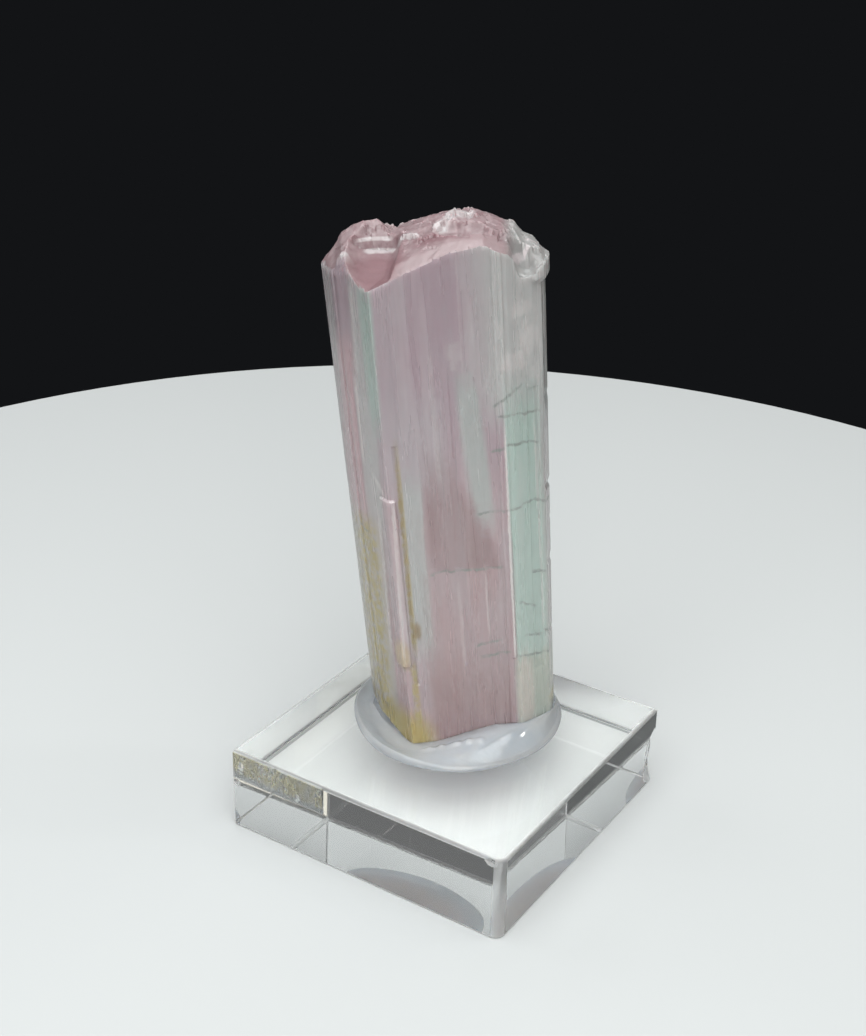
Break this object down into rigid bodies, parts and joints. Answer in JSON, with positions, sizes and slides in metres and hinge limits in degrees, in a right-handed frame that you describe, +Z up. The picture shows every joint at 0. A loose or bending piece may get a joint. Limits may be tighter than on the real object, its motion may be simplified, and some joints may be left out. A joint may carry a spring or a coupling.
{
  "type": "tourmaline crystal",
  "caption": "Striated pink and green tourmaline crystal with a broken top, held upright by putty on a clear square acrylic block",
  "frame": {"origin": "centre of the underside of the acrylic base", "axes": "+Z is up, X and Y lie along the sides of the square base; the crystal's broad front face looks towards +X and -Y"},
  "size_m": [0.035, 0.035, 0.0691],
  "materials": {
    "acrylic": "clear polished acrylic with a few small chips on its edges",
    "putty": "milky bluish white mounting putty, smooth and glossy",
    "tourmaline": "translucent pink and green crystal, striated lengthwise, glassy where broken, stained yellow near its foot"
  },
  "bodies": {
    "root": {"acrylic_base": "acrylic", "putty_pad": "putty", "tourmaline_crystal": "tourmaline"}
  },
  "joints": []
}
